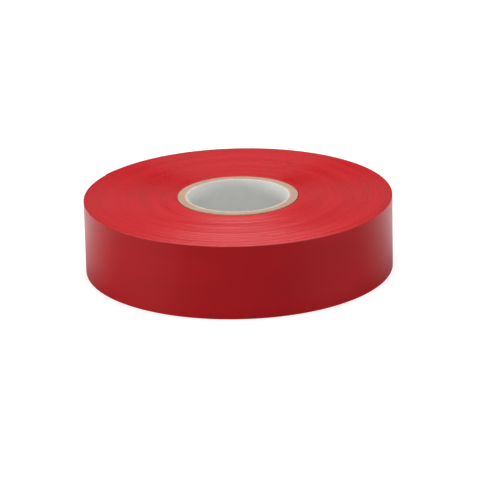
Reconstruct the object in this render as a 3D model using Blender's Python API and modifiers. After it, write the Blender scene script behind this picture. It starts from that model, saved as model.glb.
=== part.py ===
"""Roll of PVC electrical tape on a spiral-wound paperboard core.

The roll lies flat: its axis is +Z, it rests on z = 0, and the origin is the centre of the face it rests on.
The tape is one long strip. Every place on it is named by its back angle: how far it lies from the free end,
measured in radians back along the winding. The free end is back angle 0, the peelable tail comes next, then
the rest of the outer turn, then the wound pack, down to the inner end on the core.
The pack holds far more turns than a solid needs, so it is wound here in a few thick laps, with the true
thickness kept at both of its ends.
"""

import math

import bmesh
import bpy
from mathutils import Matrix, Vector

# Driving dimensions, in metres
TAPE_WIDTH = 0.019
TAPE_THICKNESS = 0.00013
ROLL_RADIUS = 0.0396
CORE_RADIUS = 0.0154
BORE_RADIUS = 0.0130

# Paperboard core: plies of paper strip, each wound as a helix with its edges butted
PLY_NAMES = ("core_liner_ply", "core_body_ply_1", "core_body_ply_2", "core_body_ply_3", "core_outer_ply")
PLY_PITCH = (CORE_RADIUS - BORE_RADIUS) / len(PLY_NAMES)
GLUE_LINE = 0.00002
PAPER_STRIP_WIDTH = 0.060
SEAM_WIDTH = 0.0003
LINER_SEAM_ANGLE = math.radians(200)
SEAM_STAGGER = math.radians(137.5)
SEAM_ROWS = 12

# Angles
FULL_TURN = 2 * math.pi
FACETS = 96
FACET = FULL_TURN / FACETS
FREE_END_ANGLE = 40 * FACET
SEGMENT_ARC = 2 * FACET
TAIL_SEGMENTS = 9
TAIL_ARC = (TAIL_SEGMENTS + 1) * SEGMENT_ARC

# Winding
PACK_LAPS = 6
PACK_INNER_END = FULL_TURN * (1 + PACK_LAPS)
SKIN_GAP = 0.00001
END_GAP = 0.00006

SHARP_ANGLE = math.radians(30)
WELD_DISTANCE = 0.000001

RED_PVC = (0.60, 0.012, 0.020, 1.0)
LINER_PAPER = (0.72, 0.72, 0.70, 1.0)
CHIPBOARD = (0.46, 0.34, 0.25, 1.0)


# ---------- helpers ----------


def clear_scene():
    for obj in list(bpy.data.objects):
        bpy.data.objects.remove(obj, do_unlink=True)


def make_collection(name):
    collection = bpy.data.collections.new(name)
    bpy.context.scene.collection.children.link(collection)
    return collection


def make_material(name, colour, roughness):
    material = bpy.data.materials.new(name)
    material.use_nodes = True
    shader = material.node_tree.nodes["Principled BSDF"]
    shader.inputs["Base Color"].default_value = colour
    shader.inputs["Roughness"].default_value = roughness
    shader.inputs["Metallic"].default_value = 0.0
    material.diffuse_color = colour
    return material


def add_object(name, data, collection):
    obj = bpy.data.objects.new(name, data)
    collection.objects.link(obj)
    return obj


def add_mesh_object(name, bm, collection):
    mesh = bpy.data.meshes.new(name)
    bm.to_mesh(mesh)
    bm.free()
    return add_object(name, mesh, collection)


def place_of(obj):
    """World place of an object whose parents are only moved and never turned."""
    if obj is None:
        return Vector()
    return obj.location + place_of(obj.parent)


def put_under(obj, parent, place):
    obj.parent = parent
    obj.location = place - place_of(parent)


def add_empty(name, collection, parent, place):
    empty = add_object(name, None, collection)
    empty.empty_display_size = TAPE_WIDTH / 4
    put_under(empty, parent, place)
    return empty


def settle(rough, collection, material, parent, place):
    """Replaces a curve, or a mesh with modifiers, by the plain mesh it makes, smooth between its sharp edges."""
    name = rough.name
    bpy.context.view_layer.update()
    evaluated = rough.evaluated_get(bpy.context.evaluated_depsgraph_get())
    mesh = bpy.data.meshes.new_from_object(evaluated)
    bpy.data.objects.remove(rough, do_unlink=True)
    bm = bmesh.new()
    bm.from_mesh(mesh)
    bmesh.ops.remove_doubles(bm, verts=bm.verts, dist=WELD_DISTANCE)
    bm.to_mesh(mesh)
    bm.free()
    mesh.shade_smooth()
    mesh.set_sharp_from_angle(angle=SHARP_ANGLE)
    mesh.materials.clear()
    mesh.materials.append(material)
    obj = add_object(name, mesh, collection)
    put_under(obj, parent, place)


# ---------- paperboard core ----------


def add_tube(name, inner, outer, collection):
    """A tube turned from a rectangular profile."""
    bm = bmesh.new()
    corners = ((outer, TAPE_WIDTH), (outer, 0.0), (inner, 0.0), (inner, TAPE_WIDTH))
    verts = [bm.verts.new((x, 0.0, z)) for x, z in corners]
    for a, b in zip(verts, verts[1:] + verts[:1]):
        bm.edges.new((a, b))
    tube = add_mesh_object(name, bm, collection)
    screw = tube.modifiers.new("turn", "SCREW")
    screw.axis = "Z"
    screw.angle = FULL_TURN
    screw.steps = FACETS
    screw.render_steps = FACETS
    screw.use_merge_vertices = True
    screw.merge_threshold = WELD_DISTANCE
    screw.use_normal_calculate = True
    return tube


def seam_twist(radius):
    """How far the butt seam of a paper strip turns over the length of the core."""
    circumference = FULL_TURN * radius
    lead_angle = math.asin(PAPER_STRIP_WIDTH / circumference)
    pitch = circumference * math.tan(lead_angle)
    return FULL_TURN * TAPE_WIDTH / pitch


def add_seam_blade(name, radius, start_angle, collection):
    """A thin blade as long as the core, twisted about its axis, that opens a ply's butt seam."""
    overrun = 0.001
    height = TAPE_WIDTH + 2 * overrun
    depth = 2 * PLY_PITCH
    bm = bmesh.new()
    bmesh.ops.create_cube(bm, size=1.0)
    bmesh.ops.scale(bm, vec=(depth, SEAM_WIDTH, height), verts=bm.verts)
    bmesh.ops.translate(bm, vec=(radius, 0.0, TAPE_WIDTH / 2), verts=bm.verts)
    for row in range(1, SEAM_ROWS):
        level = -overrun + height * row / SEAM_ROWS
        everything = bm.verts[:] + bm.edges[:] + bm.faces[:]
        bmesh.ops.bisect_plane(bm, geom=everything, plane_co=(0, 0, level), plane_no=(0, 0, 1))
    twist_rate = seam_twist(radius) / TAPE_WIDTH
    for vert in bm.verts:
        vert.co = Matrix.Rotation(start_angle + twist_rate * vert.co.z, 3, "Z") @ vert.co
    bmesh.ops.recalc_face_normals(bm, faces=bm.faces)
    return add_mesh_object(name, bm, collection)


def add_core(collection, parent, liner_paper, chipboard):
    for index, name in enumerate(PLY_NAMES):
        inner = BORE_RADIUS + PLY_PITCH * index
        outer = inner + PLY_PITCH - GLUE_LINE
        tube = add_tube(name, inner, outer, collection)
        seam_angle = LINER_SEAM_ANGLE + SEAM_STAGGER * index
        blade = add_seam_blade(name + "_seam", (inner + outer) / 2, seam_angle, collection)
        cut = tube.modifiers.new("butt_seam", "BOOLEAN")
        cut.operation = "DIFFERENCE"
        cut.solver = "EXACT"
        cut.object = blade
        paper = liner_paper if index == 0 else chipboard
        settle(tube, collection, paper, parent, Vector())
        bpy.data.objects.remove(blade, do_unlink=True)


# ---------- tape ----------


def tape_radius(back_angle):
    """Radius of the tape's outer face at a back angle."""
    pack_laps_start = 2 * FULL_TURN
    if back_angle <= pack_laps_start:
        return ROLL_RADIUS - TAPE_THICKNESS * back_angle / FULL_TURN
    if back_angle <= PACK_INNER_END:
        share = (back_angle - pack_laps_start) / (PACK_INNER_END - pack_laps_start)
        outermost = ROLL_RADIUS - 2 * TAPE_THICKNESS
        innermost = CORE_RADIUS + TAPE_THICKNESS
        return outermost + (innermost - outermost) * share
    # Past the inner end there is only the core, and the tape above comes down onto it over one facet
    ramp = max(0.0, 1 - (back_angle - PACK_INNER_END) / FACET)
    return CORE_RADIUS + TAPE_THICKNESS * ramp


def point_at(radius, back_angle):
    angle = FREE_END_ANGLE - back_angle
    return radius * math.cos(angle), radius * math.sin(angle)


def strip_outline(start, stop):
    """Plan view of the tape between two back angles, as a closed loop of points."""
    trim = END_GAP / 2 / ROLL_RADIUS
    first, last = round(start / FACET), round(stop / FACET)
    angles = [start + trim, *(FACET * step for step in range(first + 1, last)), stop - trim]
    outer = [point_at(tape_radius(angle), angle) for angle in angles]
    inner = [point_at(tape_radius(angle + FULL_TURN) + SKIN_GAP, angle) for angle in reversed(angles)]
    return outer + inner


def add_strip(name, start, stop, collection, material, parent):
    """The tape between two back angles: its plan view, filled and extruded to the tape's width."""
    origin = place_of(parent)
    curve = bpy.data.curves.new(name, "CURVE")
    curve.dimensions = "2D"
    curve.fill_mode = "BOTH"
    curve.extrude = TAPE_WIDTH / 2
    outline = strip_outline(start, stop)
    spline = curve.splines.new("POLY")
    spline.points.add(len(outline) - 1)
    for point, (x, y) in zip(spline.points, outline):
        point.co = (x - origin.x, y - origin.y, 0.0, 1.0)
    spline.use_cyclic_u = True
    rough = add_object(name, curve, collection)
    settle(rough, collection, material, parent, Vector((origin.x, origin.y, TAPE_WIDTH / 2)))


def add_tail(collection, material, parent):
    """The peelable end: a chain of short strips, each hinged on the one before at the tape's outer face."""
    names = [f"tail_{number:02d}" for number in range(1, TAIL_SEGMENTS + 1)] + ["tail_tab"]
    start = TAIL_ARC
    hinge = parent
    for name in names:
        place = Vector((*point_at(tape_radius(start), start), 0.0))
        hinge = add_empty("hinge_of_" + name, collection, hinge, place)
        add_strip(name, start - SEGMENT_ARC, start, collection, material, hinge)
        start -= SEGMENT_ARC


def main():
    clear_scene()
    parts = make_collection("electrical_tape_roll")
    red_pvc = make_material("red_pvc", RED_PVC, 0.3)
    liner_paper = make_material("liner_paper", LINER_PAPER, 0.9)
    chipboard = make_material("chipboard", CHIPBOARD, 0.95)

    roll = add_empty("roll", parts, None, Vector())
    add_core(parts, roll, liner_paper, chipboard)
    add_strip("wound_tape", FULL_TURN, PACK_INNER_END, parts, red_pvc, roll)
    add_strip("outer_turn", TAIL_ARC, FULL_TURN, parts, red_pvc, roll)
    add_tail(parts, red_pvc, roll)


main()
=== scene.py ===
"""Looks of a roll of red PVC electrical tape on a paperboard core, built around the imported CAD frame.

The tape is one long strip, and a place on it is named by its back angle: how far it lies from the free end,
in radians back along the winding. The CAD part uses the same naming, and the same sizes as below.
"""

import math

import bpy
from mathutils import Matrix, Vector, noise


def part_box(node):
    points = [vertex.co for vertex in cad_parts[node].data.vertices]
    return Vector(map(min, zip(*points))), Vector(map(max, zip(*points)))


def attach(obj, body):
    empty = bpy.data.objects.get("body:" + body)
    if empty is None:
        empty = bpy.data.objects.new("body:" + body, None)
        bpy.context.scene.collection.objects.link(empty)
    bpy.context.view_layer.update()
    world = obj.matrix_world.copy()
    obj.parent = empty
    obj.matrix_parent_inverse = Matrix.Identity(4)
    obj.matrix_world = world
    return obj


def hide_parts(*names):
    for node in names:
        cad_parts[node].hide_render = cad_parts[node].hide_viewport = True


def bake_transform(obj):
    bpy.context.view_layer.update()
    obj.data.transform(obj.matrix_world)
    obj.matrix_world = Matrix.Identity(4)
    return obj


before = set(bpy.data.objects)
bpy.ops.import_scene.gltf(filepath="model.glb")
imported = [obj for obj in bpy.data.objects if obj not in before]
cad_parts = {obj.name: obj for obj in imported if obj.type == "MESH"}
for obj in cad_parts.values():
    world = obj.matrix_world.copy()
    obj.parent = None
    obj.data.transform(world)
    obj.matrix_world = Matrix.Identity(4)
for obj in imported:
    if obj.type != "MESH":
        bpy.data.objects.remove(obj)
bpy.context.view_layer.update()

MM = 0.001
MM_PER_METRE = 1000
FULL_TURN = 2 * math.pi

# Sizes of the CAD part
TAPE_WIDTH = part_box("wound_tape")[1].z
TAPE_THICKNESS = 0.13 * MM
ROLL_RADIUS = 39.6 * MM
CORE_RADIUS = 15.4 * MM
BORE_RADIUS = 13.0 * MM
FREE_END_ANGLE = math.radians(150)
SEGMENT_ARC = math.radians(7.5)
TAIL_NUMBERS = range(1, 10)
TAIL_NODES = [f"tail_{number:02d}" for number in TAIL_NUMBERS] + ["tail_tab"]
TAIL_ARC = SEGMENT_ARC * len(TAIL_NODES)

# Wound pack: every turn of tape shows its slit edge as a small ridge, whose crest lies on its core side
PACK_TURNS = 184
PACK_SEGMENTS = 128
PACK_INNER_RADIUS = ROLL_RADIUS - TAPE_THICKNESS * (PACK_TURNS + 2)
CREST_SHARE = 0.15
GROOVE_DEPTH = 0.030 * MM
RIDGE_SHARP_ANGLE = math.radians(20)
# Uneven winding, as size, change round the roll, and change from turn to turn
FACE_SWAYS = ((0.060 * MM, 0.7, 0.045), (0.080 * MM, 0.6, 0.17), (0.040 * MM, 0.5, 0.61))
CORE_DIP = 0.30 * MM
CORE_DIP_TURNS = 2.5

# Film strips
STRIP_STEP = SEGMENT_ARC / 16
FILM_ROWS = 12
EDGE_ROUNDING = 0.03 * MM
EDGE_PINCH = 0.25
FILM_WAVE = 0.006 * MM
FILM_WAVES_ALONG = 9
FILM_WAVE_HEIGHT = 5 * MM
EDGE_SWAY = 0.04 * MM
EDGE_SWAY_DETAIL = 1.5
EDGE_SWAY_REACH = MM
END_LIFT = 0.12 * MM
END_LIFT_LENGTH = 6 * MM
CUT_WANDER = 0.25 * MM
CUT_WANDER_HEIGHT = 3 * MM
CUT_WANDER_REACH = 2 * MM
STRIP_SHARP_ANGLE = math.radians(50)

# Core plies
PLY_NODES = ["core_liner_ply", "core_body_ply_1", "core_body_ply_2", "core_body_ply_3", "core_outer_ply"]
PLY_PITCH = (CORE_RADIUS - BORE_RADIUS) / len(PLY_NODES)
PLY_GAP = 0.01 * MM
PLY_COLUMNS = 144
PLY_ROWS = 18
PAPER_STRIP_WIDTH = 60 * MM
SEAM_WIDTH = 0.12 * MM
LINER_SEAM_ANGLE = math.radians(200)
SEAM_STAGGER = math.radians(137.5)
PAPER_SWAY = 0.04 * MM
PAPER_SWAY_DETAIL = 9.0

# Places in the noise, so that each unevenness has its own pattern
PACK_FACE_SEED = 40
FILM_WAVE_SEED = 7.0
EDGE_SWAY_SEED = 11.0
CUT_WANDER_SEED = 3.0
PLY_SEED = 5.0

# Camera: a long lens, a little above the roll
CAMERA_DISTANCE = 786 * MM
CAMERA_ELEVATION = math.radians(19.17)
CAMERA_ROLL = math.radians(-1.36)
CAMERA_LENS = 229.4
CAMERA_SENSOR = 36
CAMERA_CLIP = 50 * MM
CAMERA_AIM = Vector((0.3 * MM, 0.0, 6.8 * MM))


# ---------- shape of the winding ----------


def strip_radius(back_angle):
    """Radius of the tape's outer face at a back angle."""
    return ROLL_RADIUS - TAPE_THICKNESS * back_angle / FULL_TURN


def around(radius, angle, height):
    return Vector((radius * math.cos(angle), radius * math.sin(angle), height))


def ring_noise(angle, detail, level):
    """Smooth noise in -1..1 that closes on itself round the axis and changes with level."""
    return noise.noise(Vector((math.cos(angle) * detail, math.sin(angle) * detail, level)))


def face_drop(turns, angle, seed):
    """How far the edge of a turn lies below the roll's flat face, turns being counted from the core."""
    drop = CORE_DIP * math.exp(-turns / CORE_DIP_TURNS)
    for size, detail, rate in FACE_SWAYS:
        drop += size * (1 + ring_noise(angle, detail, turns * rate + seed)) / 2
    return drop


# ---------- meshes ----------


def add_mesh(name, points, faces, face_slots, materials, sharp_angle, uvs=None):
    mesh = bpy.data.meshes.new(name)
    mesh.from_pydata(points, [], faces)
    for material in materials:
        mesh.materials.append(material)
    mesh.polygons.foreach_set("material_index", face_slots)
    if uvs:
        layer = mesh.uv_layers.new(name="film")
        for loop in mesh.loops:
            layer.data[loop.index].uv = uvs[loop.vertex_index]
    mesh.shade_smooth()
    mesh.set_sharp_from_angle(angle=sharp_angle)
    obj = bpy.data.objects.new(name, mesh)
    bpy.context.scene.collection.objects.link(obj)
    return obj


def sweep(name, columns, materials, uv_columns=None):
    """A closed strip. A column is a list of (inner point, outer point) pairs from bottom to top, and the
    columns run counter-clockwise. The materials are for the outer wall, for the inner wall, and for the
    edges and ends."""
    rows = len(columns[0])
    points = [point for column in columns for pair in column for point in pair]
    uvs = [uv for column in uv_columns for uv in column for _ in range(2)] if uv_columns else None

    def inner(column, row):
        return (column * rows + row) * 2

    def outer(column, row):
        return inner(column, row) + 1

    faces, slots = [], []
    top = rows - 1
    for c in range(len(columns) - 1):
        for r in range(top):
            faces.append((outer(c, r), outer(c + 1, r), outer(c + 1, r + 1), outer(c, r + 1)))
            faces.append((inner(c, r), inner(c, r + 1), inner(c + 1, r + 1), inner(c + 1, r)))
            slots += [0, 1]
        faces.append((inner(c, top), outer(c, top), outer(c + 1, top), inner(c + 1, top)))
        faces.append((inner(c, 0), inner(c + 1, 0), outer(c + 1, 0), outer(c, 0)))
        slots += [2, 2]
    last = len(columns) - 1
    for r in range(top):
        faces.append((inner(0, r), outer(0, r), outer(0, r + 1), inner(0, r + 1)))
        faces.append((inner(last, r), inner(last, r + 1), outer(last, r + 1), outer(last, r)))
        slots += [2, 2]
    return add_mesh(name, points, faces, slots, materials, STRIP_SHARP_ANGLE, uvs)


def section_heights(rows, rounding):
    """Heights of a strip's section rows, with rows close to each edge so that only the edges round over."""
    margin = 3 * rounding
    inside = [margin + (TAPE_WIDTH - 2 * margin) * row / (rows - 1) for row in range(rows)]
    return [0.0, rounding, *inside, TAPE_WIDTH - rounding, TAPE_WIDTH]


# ---------- wound pack ----------


def add_wound_pack(film, slit_edge):
    """The whole pack as one spiral. On each face a groove and a crest run side by side out from the core."""
    steps = PACK_TURNS * PACK_SEGMENTS
    grooves = steps + PACK_SEGMENTS + 1
    side_points = grooves + steps + 1
    points = []
    for side, level, direction in ((0, TAPE_WIDTH, -1), (1, 0.0, 1)):
        crests = []
        for step in range(grooves):
            turns = step / PACK_SEGMENTS
            angle = FREE_END_ANGLE + FULL_TURN * turns
            radius = PACK_INNER_RADIUS + TAPE_THICKNESS * turns
            drop = face_drop(turns, angle, PACK_FACE_SEED * side)
            points.append(around(radius, angle, level + direction * (drop + GROOVE_DEPTH)))
            if step <= steps:
                crest_radius = radius + TAPE_THICKNESS * CREST_SHARE
                crests.append(around(crest_radius, angle, level + direction * drop))
        points += crests

    faces = []
    for step in range(steps):
        groove, next_groove = step, step + PACK_SEGMENTS
        crest = grooves + step
        quads = [(groove, crest, crest + 1, groove + 1), (crest, next_groove, next_groove + 1, crest + 1)]
        for quad in quads:
            faces.append(quad)
            faces.append(tuple(side_points + index for index in reversed(quad)))
    slots = [0] * len(faces)
    inner_rim = [*range(PACK_SEGMENTS + 1), grooves]
    outer_rim = [*range(steps, steps + PACK_SEGMENTS + 1), grooves + steps]
    for rim, order in ((inner_rim, (0, 1, 3, 2)), (outer_rim, (0, 2, 3, 1))):
        for a, b in zip(rim, rim[1:] + rim[:1]):
            corners = (a, b, a + side_points, b + side_points)
            faces.append(tuple(corners[index] for index in order))
            slots.append(1)
    pack = add_mesh("wound_tape_pack", points, faces, slots, [slit_edge, film], RIDGE_SHARP_ANGLE)
    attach(pack, "roll")
    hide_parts("wound_tape")


# ---------- film strips ----------


def film_point(back_angle, depth, height):
    """A point of the film, depth below its outer face, with the film's slight waves and its lifted end."""
    wave_place = Vector((back_angle * FILM_WAVES_ALONG, height / FILM_WAVE_HEIGHT, FILM_WAVE_SEED))
    wave = FILM_WAVE * noise.noise(wave_place)
    from_end = back_angle * ROLL_RADIUS
    lift = END_LIFT * max(0.0, 1 - from_end / END_LIFT_LENGTH) ** 2
    cut = CUT_WANDER * noise.noise(Vector((height / CUT_WANDER_HEIGHT, CUT_WANDER_SEED, 0.0)))
    shift = cut * max(0.0, 1 - from_end / CUT_WANDER_REACH) / ROLL_RADIUS
    edge = TAPE_WIDTH / 2 - abs(height - TAPE_WIDTH / 2)
    inward = 1 if height < TAPE_WIDTH / 2 else -1
    unevenness = (1 + ring_noise(back_angle, EDGE_SWAY_DETAIL, EDGE_SWAY_SEED)) / 2
    sway = EDGE_SWAY * unevenness * max(0.0, 1 - edge / EDGE_SWAY_REACH)
    radius = strip_radius(back_angle) - depth + wave + lift
    return around(radius, FREE_END_ANGLE - back_angle - shift, height + inward * sway)


def add_film(name, start, stop, materials):
    """The film from back angle start down to stop."""
    count = round((start - stop) / STRIP_STEP)
    heights = section_heights(FILM_ROWS, EDGE_ROUNDING)
    rim_rows = (0, len(heights) - 1)
    columns, uv_columns = [], []
    for index in range(count + 1):
        back_angle = start + (stop - start) * index / count
        column, uvs = [], []
        for row, height in enumerate(heights):
            pinch = EDGE_PINCH * TAPE_THICKNESS if row in rim_rows else 0.0
            inner = film_point(back_angle, TAPE_THICKNESS - pinch, height)
            outer = film_point(back_angle, pinch, height)
            column.append((inner, outer))
            uvs.append((back_angle * ROLL_RADIUS, height))
        columns.append(column)
        uv_columns.append(uvs)
    return sweep(name, columns, materials, uv_columns)


def add_outer_turn(materials):
    film = add_film("outer_turn_film", FULL_TURN, TAIL_ARC, materials)
    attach(film, "roll")
    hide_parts("outer_turn")


def add_tail(materials):
    """The tail's film in pieces that each bend over one hinge. The first and the last begin at their hinge
    and bend only past it, because the film before it can lie on the roll. The others begin midway between
    two hinges."""
    half = SEGMENT_ARC / 2
    hinges = [TAIL_ARC - SEGMENT_ARC * number for number in range(len(TAIL_NODES))]
    starts = [hinges[0], *(hinge + half for hinge in hinges[1:-1]), hinges[-1]]
    stops = [*starts[1:], 0.0]
    for number, node in enumerate(TAIL_NODES):
        film = add_film(node + "_film", starts[number], stops[number], materials)
        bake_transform(film)
        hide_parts(node)


# ---------- core ----------


def seam_twist(radius):
    """How far the butt seam of a paper strip turns over the length of the core."""
    circumference = FULL_TURN * radius
    lead_angle = math.asin(PAPER_STRIP_WIDTH / circumference)
    return TAPE_WIDTH / (radius * math.tan(lead_angle))


def add_ply(index, node, paper, cut_paper):
    inner_radius = BORE_RADIUS + PLY_PITCH * index
    outer_radius = inner_radius + PLY_PITCH - PLY_GAP
    twist = seam_twist((inner_radius + outer_radius) / 2)
    gap = SEAM_WIDTH / inner_radius
    seam_angle = LINER_SEAM_ANGLE + SEAM_STAGGER * index
    heights = section_heights(PLY_ROWS, PAPER_SWAY)
    rim_rows = (0, len(heights) - 1)
    columns = []
    for column_index in range(PLY_COLUMNS + 1):
        turn = gap / 2 + (FULL_TURN - gap) * column_index / PLY_COLUMNS
        column = []
        for row, height in enumerate(heights):
            angle = seam_angle + twist * height / TAPE_WIDTH + turn
            on_rim = row in rim_rows
            pinch = EDGE_PINCH * PLY_PITCH * on_rim
            unevenness = (1 + ring_noise(angle, PAPER_SWAY_DETAIL, PLY_SEED * index + row)) / 2
            sag = PAPER_SWAY * on_rim * unevenness
            level = height - sag if row else height + sag
            inner = around(inner_radius + pinch, angle, level)
            outer = around(outer_radius - pinch, angle, level)
            column.append((inner, outer))
        columns.append(column)
    ply = sweep(node + "_paper", columns, [paper, paper, cut_paper])
    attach(ply, "roll")
    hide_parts(node)


# ---------- materials ----------
# Places on the roll are in millimetres, so the scale of a noise is per millimetre.


class Material:
    """A node material under construction."""

    def __init__(self, name):
        self.material = bpy.data.materials.new(name)
        self.material.use_nodes = True
        self.tree = self.material.node_tree
        self.shader = self.tree.nodes["Principled BSDF"]

    def node(self, kind, inputs=(), **settings):
        made = self.tree.nodes.new("ShaderNode" + kind)
        for name, value in settings.items():
            setattr(made, name, value)
        self.feed(made, dict(inputs))
        return made

    def feed(self, node, inputs):
        for name, value in inputs.items():
            if isinstance(value, bpy.types.NodeSocket):
                self.tree.links.new(value, node.inputs[name])
            else:
                node.inputs[name].default_value = value

    def math(self, operation, first, second=0.0):
        return self.node("Math", {0: first, 1: second}, operation=operation).outputs[0]

    def weigh(self, first, first_weight, second, second_weight):
        """Sum of two values, each times its weight."""
        first_part = self.math("MULTIPLY", first, first_weight)
        second_part = self.math("MULTIPLY", second, second_weight)
        return self.math("ADD", first_part, second_part)

    def scaled(self, vector, scale):
        multiply = self.node("VectorMath", {0: vector, 1: scale}, operation="MULTIPLY")
        return multiply.outputs[0]

    def noise(self, vector, scale, detail=3.0, roughness=0.5):
        texture = self.node(
            "TexNoise", {"Vector": vector, "Scale": scale, "Detail": detail, "Roughness": roughness}
        )
        return texture.outputs["Fac"]

    def ramp(self, value, start, end, low, high):
        """Goes from low to high as the value goes from start to end."""
        limits = {"From Min": start, "From Max": end, "To Min": low, "To Max": high}
        return self.node("MapRange", {"Value": value, **limits}).outputs["Result"]

    def spread(self, value, low, high):
        """Maps noise, which stays near 0.5, onto low..high."""
        return self.ramp(value, 0.3, 0.7, low, high)

    def blend(self, factor, first, second):
        mix = self.node("Mix", data_type="RGBA")
        self.feed(mix, {0: factor, 6: first, 7: second})
        return mix.outputs[2]

    def bump(self, height, distance, normal=None):
        inputs = {"Height": height, "Distance": distance, "Strength": 1.0}
        if normal:
            inputs["Normal"] = normal
        return self.node("Bump", inputs).outputs["Normal"]


def film_coordinates(material):
    """Place on the film in millimetres: along the strip, then across it."""
    uv = material.node("UVMap", uv_map="film").outputs["UV"]
    return material.scaled(uv, (MM_PER_METRE, MM_PER_METRE, 0))


def object_coordinates(material):
    """Place in the row frame in millimetres."""
    place = material.node("TexCoord").outputs["Object"]
    return material.scaled(place, (MM_PER_METRE,) * 3)


def polar_coordinates(material, around_scale, out_scale):
    """Coordinates for noise drawn out along the turns: around_scale sets its detail round the roll, and
    out_scale its detail per millimetre of radius."""
    place = object_coordinates(material)
    flat = material.scaled(place, (1, 1, 0))
    radius = material.node("VectorMath", {0: flat}, operation="LENGTH").outputs["Value"]
    direction = material.node("VectorMath", {0: flat}, operation="NORMALIZE").outputs[0]
    out = material.node("CombineXYZ", {"Z": material.math("MULTIPLY", radius, out_scale)}).outputs[0]
    along = material.scaled(direction, (around_scale,) * 3)
    return material.node("VectorMath", {0: along, 1: out}, operation="ADD").outputs[0]


FILM_RED = (0.50, 0.004, 0.009, 1)
FILM_DEEP_RED = (0.44, 0.003, 0.007, 1)
EDGE_RED = (0.62, 0.009, 0.017, 1)
EDGE_DEEP_RED = (0.505, 0.004, 0.009, 1)
ADHESIVE_RED = (0.36, 0.004, 0.007, 1)
LINER = (0.83, 0.83, 0.81, 1)
LINER_SHADE = (0.74, 0.74, 0.71, 1)
CHIPBOARD = (0.54, 0.375, 0.275, 1)
CHIPBOARD_SHADE = (0.42, 0.275, 0.195, 1)


def film_material():
    """Glossy calendered PVC film: faint lines along the strip and a slight orange peel."""
    material = Material("red_pvc_film")
    place = film_coordinates(material)
    lines = material.noise(material.scaled(place, (0.03, 3.0, 1)), 1.0, detail=4)
    peel = material.noise(place, 1.6, detail=2)
    clouds = material.noise(material.scaled(place, (0.05, 0.12, 1)), 1.0)
    relief = material.bump(peel, 0.0008 * MM, material.bump(lines, 0.0003 * MM))
    material.feed(
        material.shader,
        {
            "Base Color": material.blend(material.spread(clouds, 0, 1), FILM_DEEP_RED, FILM_RED),
            "Roughness": material.spread(lines, 0.28, 0.30),
            "IOR": 1.53,
            "Normal": relief,
        },
    )
    return material.material


def slit_edge_material():
    """Slit edges of the turns: satin, in bands that differ a little from turn to turn."""
    material = Material("red_slit_edges")
    turns = material.noise(polar_coordinates(material, 1.2, 5.0), 1.0, detail=2)
    bands = material.noise(polar_coordinates(material, 0.8, 0.35), 1.0, detail=4)
    tone = material.weigh(turns, 0.4, bands, 0.6)
    material.feed(
        material.shader,
        {
            "Base Color": material.blend(material.spread(tone, 0, 1), EDGE_DEEP_RED, EDGE_RED),
            "Roughness": material.spread(bands, 0.24, 0.40),
            "IOR": 1.53,
        },
    )
    return material.material


def adhesive_material():
    """The film's inner side: rubber adhesive, tacky and a little cloudy."""
    material = Material("red_adhesive_side")
    place = film_coordinates(material)
    clouds = material.noise(material.scaled(place, (0.4, 0.7, 1)), 1.0, detail=5)
    lines = material.noise(material.scaled(place, (0.06, 2.2, 1)), 1.0, detail=3)
    material.feed(
        material.shader,
        {
            "Base Color": material.blend(material.spread(clouds, 0, 1), ADHESIVE_RED, FILM_DEEP_RED),
            "Roughness": material.spread(clouds, 0.38, 0.60),
            "IOR": 1.5,
            "Normal": material.bump(lines, 0.004 * MM),
        },
    )
    return material.material


def paper_material(name, light, shade, fibre_depth):
    """Uncoated paper: flecks, fibres laid mostly one way, and a matte face."""
    material = Material(name)
    place = object_coordinates(material)
    fibres = material.noise(material.scaled(place, (1.0, 1.0, 0.35)), 3.5, detail=6, roughness=0.65)
    clouds = material.noise(place, 0.5, detail=3)
    tone = material.weigh(fibres, 0.6, clouds, 0.4)
    material.feed(
        material.shader,
        {
            "Base Color": material.blend(material.spread(tone, 0, 1), shade, light),
            "Roughness": 0.92,
            "Specular IOR Level": 0.25,
            "Normal": material.bump(fibres, fibre_depth),
        },
    )
    return material.material


# ---------- studio ----------

FLOOR_REACH = 4.0
FLOOR_DROP = 0.02 * MM
FLOOR_GREY = (0.6, 0.6, 0.6, 1)
# The floor's glow to the camera, by distance from the roll's axis in metres
GLOW_START, GLOW_END = 0.1, 0.8
GLOW_NEAR, GLOW_FAR = 0.55, 0.9
# The floor's colour to everything else is painted light: painted shade in front of the roll and painted
# light behind it, by depth in metres
PAINTED_LIGHT_START, PAINTED_LIGHT_END = -0.02, 0.03
FRONT_PAINTED_SHADE_LEVEL, BACK_PAINTED_LIGHT_LEVEL = 0.14, 0.80
WORLD_STRENGTH = 0.21
# Name, place, size in metres, and power in watts
SOFTBOXES = (
    ("overhead", (0.0, -0.35, 0.80), (3.4, 0.7), 5.0),
    ("top", (0.0, 0.12, 0.80), (0.6, 0.6), 4.9),
    ("front", (0.0, -1.05, 0.45), (0.8, 0.4), 1.4),
    ("left", (-0.95, -0.30, 0.10), (0.9, 0.2), 5.4),
    ("right", (0.95, -0.30, 0.10), (0.9, 0.2), 3.5),
)


def add_softbox(name, place, size, power):
    """A soft rectangular light aimed at the roll."""
    light = bpy.data.lights.new(name, "AREA")
    light.shape = "RECTANGLE"
    light.size, light.size_y = size
    light.energy = power
    lamp = bpy.data.objects.new(name, light)
    lamp.location = place
    lamp.rotation_euler = (-Vector(place)).to_track_quat("-Z", "Y").to_euler()
    lamp.visible_camera = False
    bpy.context.scene.collection.objects.link(lamp)


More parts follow.
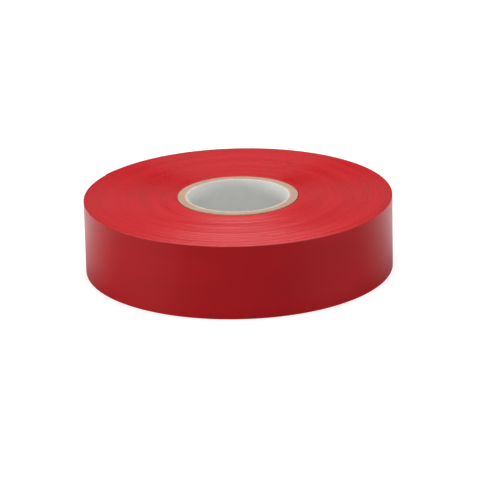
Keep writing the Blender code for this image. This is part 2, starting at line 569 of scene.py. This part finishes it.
def add_floor():
    """A floor that looks white to the camera, more so further out. To everything else its colour is painted
    shade in front of the roll and painted light behind it, so that the wall is deep red in front and pales
    towards both sides."""
    mesh = bpy.data.meshes.new("floor")
    signs = ((-1, -1), (1, -1), (1, 1), (-1, 1))
    corners = [(x * FLOOR_REACH, y * FLOOR_REACH, 0) for x, y in signs]
    mesh.from_pydata(corners, [], [(0, 1, 2, 3)])
    floor = bpy.data.objects.new("floor", mesh)
    floor.location.z = -FLOOR_DROP
    bpy.context.scene.collection.objects.link(floor)
    material = Material("pale_floor")
    seen = material.node("LightPath").outputs["Is Camera Ray"]
    place = material.node("TexCoord").outputs["Object"]
    distance = material.node("VectorMath", {0: place}, operation="LENGTH").outputs["Value"]
    glow = material.ramp(distance, GLOW_START, GLOW_END, GLOW_NEAR, GLOW_FAR)
    depth = material.node("SeparateXYZ", {0: place}).outputs["Y"]
    # Painted light on the floor, seen by everything but the camera: painted shade in front of the roll,
    # painted light behind it
    painted_floor_light = material.ramp(depth, PAINTED_LIGHT_START, PAINTED_LIGHT_END, FRONT_PAINTED_SHADE_LEVEL, BACK_PAINTED_LIGHT_LEVEL)
    material.feed(
        material.shader,
        {
            "Base Color": material.blend(seen, painted_floor_light, FLOOR_GREY),
            "Roughness": 0.9,
            "Specular IOR Level": 0.1,
            "Emission Color": (1, 1, 1, 1),
            "Emission Strength": material.math("MULTIPLY", seen, glow),
        },
    )
    mesh.materials.append(material.material)


def add_world():
    """White to the camera, dim to everything else."""
    world = bpy.data.worlds.new("studio")
    world.use_nodes = True
    nodes, links = world.node_tree.nodes, world.node_tree.links
    seen = nodes.new("ShaderNodeLightPath").outputs["Is Camera Ray"]
    strength = nodes.new("ShaderNodeMapRange")
    links.new(seen, strength.inputs["Value"])
    strength.inputs["To Min"].default_value = WORLD_STRENGTH
    strength.inputs["To Max"].default_value = 1.0
    background = nodes["Background"]
    background.inputs["Color"].default_value = (1, 1, 1, 1)
    links.new(strength.outputs["Result"], background.inputs["Strength"])
    bpy.context.scene.world = world


def add_camera():
    camera = bpy.data.objects.new("camera", bpy.data.cameras.new("camera"))
    camera.data.lens = CAMERA_LENS
    camera.data.sensor_width = CAMERA_SENSOR
    camera.data.clip_start = CAMERA_CLIP
    centre = Vector((0, 0, TAPE_WIDTH / 2))
    back = Vector((0, -math.cos(CAMERA_ELEVATION), math.sin(CAMERA_ELEVATION)))
    camera.location = centre + back * CAMERA_DISTANCE
    turn = (CAMERA_AIM - camera.location).to_track_quat("-Z", "Y").to_matrix()
    roll = Matrix.Rotation(CAMERA_ROLL, 3, "Z")
    camera.rotation_euler = (turn @ roll).to_euler()
    bpy.context.scene.collection.objects.link(camera)
    bpy.context.scene.camera = camera


def add_studio():
    add_floor()
    add_world()
    for name, place, size, power in SOFTBOXES:
        add_softbox(name, place, size, power)
    add_camera()
    bpy.context.scene.view_settings.view_transform = "Standard"


def add_roll():
    film = film_material()
    slit_edge = slit_edge_material()
    adhesive = adhesive_material()
    liner = paper_material("liner_paper", LINER, LINER_SHADE, 0.010 * MM)
    chipboard = paper_material("chipboard", CHIPBOARD, CHIPBOARD_SHADE, 0.030 * MM)
    strip_materials = [film, adhesive, slit_edge]
    add_wound_pack(film, slit_edge)
    add_outer_turn(strip_materials)
    add_tail(strip_materials)
    for index, node in enumerate(PLY_NODES):
        add_ply(index, node, liner if index == 0 else chipboard, chipboard)


add_roll()
add_studio()
